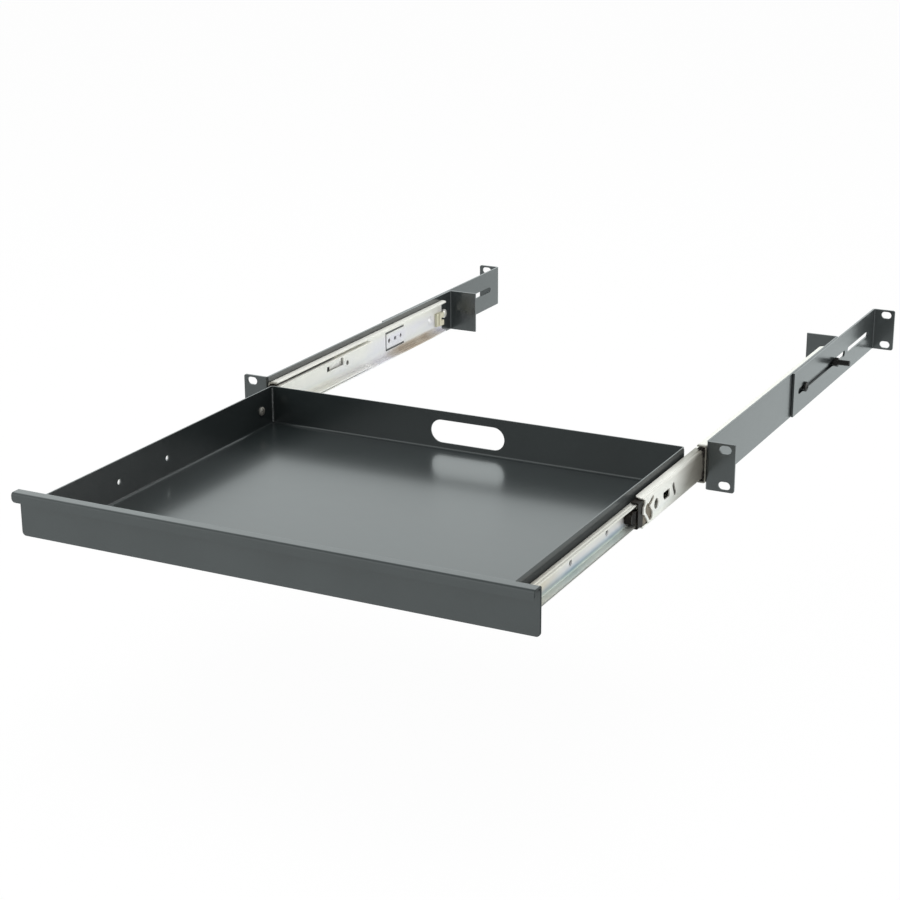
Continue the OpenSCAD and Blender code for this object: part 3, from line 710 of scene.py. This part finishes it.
class RACKDRAWER_OT_threads(PieceOperator, bpy.types.Operator):
    """Dark threaded shanks of the rear clamp screws"""
    bl_idname = "rackdrawer.threads"
    bl_label = "Threads"

    pitch: FloatProperty(
        name="Pitch", description="Distance from turn to turn", unit="LENGTH", default=0.0008, min=0.0003)
    length: FloatProperty(
        name="Length", description="Length of the thread", unit="LENGTH", default=0.018, min=0.005)
    radius: FloatProperty(
        name="Radius", description="Radius of the thread's core", unit="LENGTH", default=0.00247, min=0.001)

    def execute(self, context):
        low, high = (Vector(corner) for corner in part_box("rear_clamp_screws"))
        ridge = self.pitch * RIDGE_SHARE
        centre = high.x - ridge - self.length / 2
        values = {
            "First": (-centre, (low.y + high.y) / 2, (low.z + high.z) / 2), "Step": (2 * centre, 0.0, 0.0),
            "Radius": self.radius, "Length": self.length, "Turns": self.length / self.pitch,
            "Ridge": ridge, "Finish": finish_named("black_oxide"),
        }
        mesh = grown(thread_tree(), "clamp_threads", values)
        as_piece(mesh, "clamp_threads_piece", "rear_clamp_screws", "black_oxide")
        return {"FINISHED"}


class RACKDRAWER_OT_screws(PieceOperator, bpy.types.Operator):
    """Clamp screws, clamp nuts and drawer screws"""
    bl_idname = "rackdrawer.screws"
    bl_label = "Screws"

    def execute(self, context):
        edge = context.scene.drawer_finish.slide_edge
        dress("front_clamp_screws", edge)
        dress("rear_clamp_screws", edge, "clamp_steel")
        for side in SIDES:
            for part in ("clamp_nuts_", "drawer_screws_"):
                dress(part + side, edge)
        return {"FINISHED"}


# Stage

# Soft lamps: name, place, aim, size, watts, and whether reflections show them
LAMPS = (
    ("top_box", (-0.3, 0.3, 2.2), (0, -0.1, 0), (2.2, 2.2), 42, False),
    ("front_box", (-1.6, -2.2, 1.3), (0, -0.1, 0), (1.6, 1.2), 22, False),
    ("right_box", (2.3, 1.4, 0.2), (0.2, 0.2, 0), (1.6, 1.6), 24, True),
)
# Width of the camera's sensor in millimetres
SENSOR = 36

# The surroundings: white for the camera, low and dim light for reflections, and strength as a light
WHITE = (1, 1, 1, 1)
LOW_LIGHT = (0.93, 1, 1, 1)
DIM_LIGHT = (0.25, 0.27, 0.27, 1)
SKY_STRENGTH = 0.55

# The floor: half its width in metres, paint, what reflections see of it, and share of glow in its white
FLOOR_HALF = 12
FLOOR_COLOR = (0.9, 0.9, 0.9, 1)
FLOOR_LIGHT = (0.78, 0.85, 0.85, 1)
FLOOR_GLOW = 0.97


def soft_lamp(name, place, aim, size, watts, seen):
    """Area lamp that looks at a point, and that reflections may show"""
    lamp = bpy.data.lights.new(name, "AREA")
    lamp.shape = "RECTANGLE"
    lamp.size, lamp.size_y = size
    lamp.energy = watts
    holder = bpy.data.objects.new(name, lamp)
    holder.location = place
    holder.rotation_euler = (Vector(aim) - Vector(place)).to_track_quat("-Z", "Y").to_euler()
    holder.visible_camera = False
    holder.visible_glossy = seen
    bpy.context.scene.collection.objects.link(holder)


def camera_matrix(stage):
    """Camera turned by azimuth, elevation and roll, with the origin off the picture's middle"""
    turn = Euler((math.pi / 2 - stage.elevation, 0, stage.azimuth), "XYZ").to_matrix()
    turn = turn @ Matrix.Rotation(stage.roll, 3, "Z")
    offset = turn @ Vector((stage.aside, stage.above, -stage.distance))
    return Matrix.Translation(-offset) @ turn.to_4x4()


def add_glow(nodes, kind, surface, end, share, mirrored):
    """Mixes a white glow in for the camera, and another colour for reflections"""
    seen = nodes.node("ShaderNodeLightPath", output="Is Camera Ray")
    mirror = nodes.node("ShaderNodeLightPath", output="Is Glossy Ray")
    color = nodes.blend(mirror, WHITE, mirrored)
    glow = nodes.node(kind, None, {"Color": color, "Strength": 1.0})
    both = nodes.node("ShaderNodeMixShader", None, (seen.math("MAXIMUM", mirror) * share, surface, glow))
    nodes.join(nodes.tree.nodes[end].inputs["Surface"], both)


class RACKDRAWER_OT_stage(PieceOperator, bpy.types.Operator):
    """Pale floor, soft lamps and the camera"""
    bl_idname = "rackdrawer.stage"
    bl_label = "Stage"

    def execute(self, context):
        stage = context.scene.drawer_stage
        self.floor(context.scene, CAD_BOX[0][2] - stage.floor_drop)
        self.sky(context.scene)
        for lamp in LAMPS:
            soft_lamp(*lamp)
        self.eye(context.scene, stage)
        context.scene.view_settings.view_transform = "Standard"
        return {"FINISHED"}

    def floor(self, scene, height):
        """Pale floor that shows white behind the drawer but keeps its soft shadow"""
        bm = bmesh.new()
        bmesh.ops.create_grid(bm, x_segments=1, y_segments=1, size=FLOOR_HALF)
        mesh = bpy.data.meshes.new("floor")
        bm.to_mesh(mesh)
        bm.free()
        finish = Finish("floor")
        finish.set(Base_Color=FLOOR_COLOR, Roughness=0.9)
        surface = Sock(finish, finish.shader.outputs[0])
        add_glow(finish, "ShaderNodeEmission", surface, "Material Output", FLOOR_GLOW, FLOOR_LIGHT)
        mesh.materials.append(finish.material)
        floor = bpy.data.objects.new("floor", mesh)
        floor.location = (0, 0, height)
        scene.collection.objects.link(floor)

    def sky(self, scene):
        """White surroundings, dimmer as a source of light than as a background"""
        scene.world = bpy.data.worlds.new("surroundings")
        scene.world.use_nodes = True
        nodes = Nodes(scene.world.node_tree)
        back = nodes.tree.nodes["Background"]
        back.inputs["Color"].default_value = WHITE
        back.inputs["Strength"].default_value = SKY_STRENGTH
        surface = Sock(nodes, back.outputs[0])
        add_glow(nodes, "ShaderNodeBackground", surface, "World Output", 1.0, self.room(nodes))

    def room(self, nodes):
        """Colour that reflections see: white low down, dim overhead and dim on the right"""
        right = nodes.ramp(nodes.axis("X", "Generated"), 0.05, 0.5)
        overhead = nodes.ramp(nodes.axis("Z", "Generated"), 0.6, 0.95)
        return nodes.blend(right.math("MAXIMUM", overhead), LOW_LIGHT, DIM_LIGHT)

    def eye(self, scene, stage):
        """Camera at the photograph's place"""
        eye = bpy.data.cameras.new("eye")
        eye.sensor_width = SENSOR
        eye.lens = stage.lens
        eye.clip_end = 50
        holder = bpy.data.objects.new("eye", eye)
        holder.matrix_world = camera_matrix(stage)
        scene.collection.objects.link(holder)
        scene.camera = holder


class RACKDRAWER_PT_panel(bpy.types.Panel):
    bl_idname = "RACKDRAWER_PT_panel"
    bl_label = "Rack Drawer"
    bl_space_type = "VIEW_3D"
    bl_region_type = "UI"
    bl_category = "Rack Drawer"

    def draw(self, context):
        for group in (context.scene.drawer_finish, context.scene.drawer_stage):
            box = self.layout.box()
            for name in group.__annotations__:
                box.prop(group, name)
        for step in STEPS:
            self.layout.operator(step.bl_idname)


STEPS = (
    RACKDRAWER_OT_tray, RACKDRAWER_OT_panel, RACKDRAWER_OT_rails, RACKDRAWER_OT_slides,
    RACKDRAWER_OT_cages, RACKDRAWER_OT_balls, RACKDRAWER_OT_welds, RACKDRAWER_OT_screws,
    RACKDRAWER_OT_threads, RACKDRAWER_OT_stage,
)
CLASSES = (DrawerFinish, DrawerStage) + STEPS + (RACKDRAWER_PT_panel,)


def register():
    for kind in CLASSES:
        bpy.utils.register_class(kind)
    bpy.types.Scene.drawer_finish = PointerProperty(type=DrawerFinish)
    bpy.types.Scene.drawer_stage = PointerProperty(type=DrawerStage)


def unregister():
    del bpy.types.Scene.drawer_stage
    del bpy.types.Scene.drawer_finish
    for kind in reversed(CLASSES):
        bpy.utils.unregister_class(kind)


def main():
    register()
    for name in ("tray", "panel", "rails", "slides", "cages", "balls", "welds", "screws", "threads", "stage"):
        getattr(bpy.ops.rackdrawer, name)()


if __name__ == "__main__":
    main()
